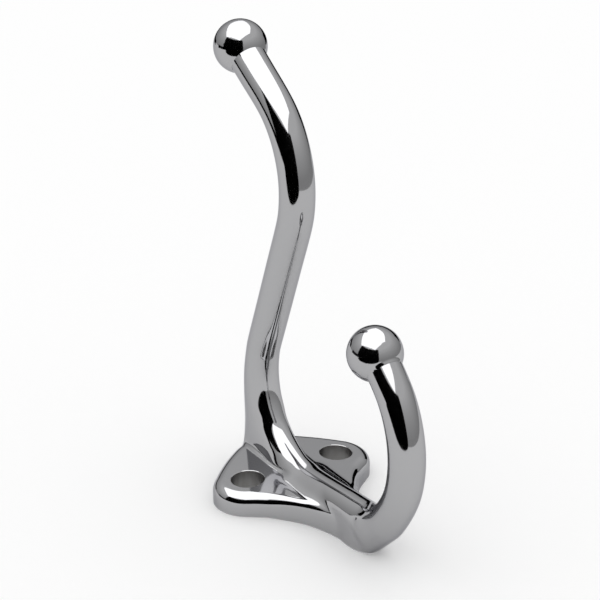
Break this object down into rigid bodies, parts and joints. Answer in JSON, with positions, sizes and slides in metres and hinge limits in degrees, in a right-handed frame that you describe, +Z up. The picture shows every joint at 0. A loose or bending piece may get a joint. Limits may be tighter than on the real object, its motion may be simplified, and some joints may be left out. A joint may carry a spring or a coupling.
{
  "type": "double robe hook",
  "caption": "Chromed cast wall hook: a long upper arm and a short lower hook, each tipped with a ball, flow out of a small winged back plate with screw holes.",
  "frame": {"origin": "midway between the screw holes, on the flat back face that lies on the wall", "axes": "+X along the row of screw holes, +Y into the wall, +Z up the wall; the hooks stand out along -Y"},
  "size_m": [0.0266, 0.0706, 0.0504],
  "materials": {
    "polished_chrome": "bright polished plating"
  },
  "bodies": {
    "root": {"hook_body": "polished_chrome"}
  },
  "joints": []
}
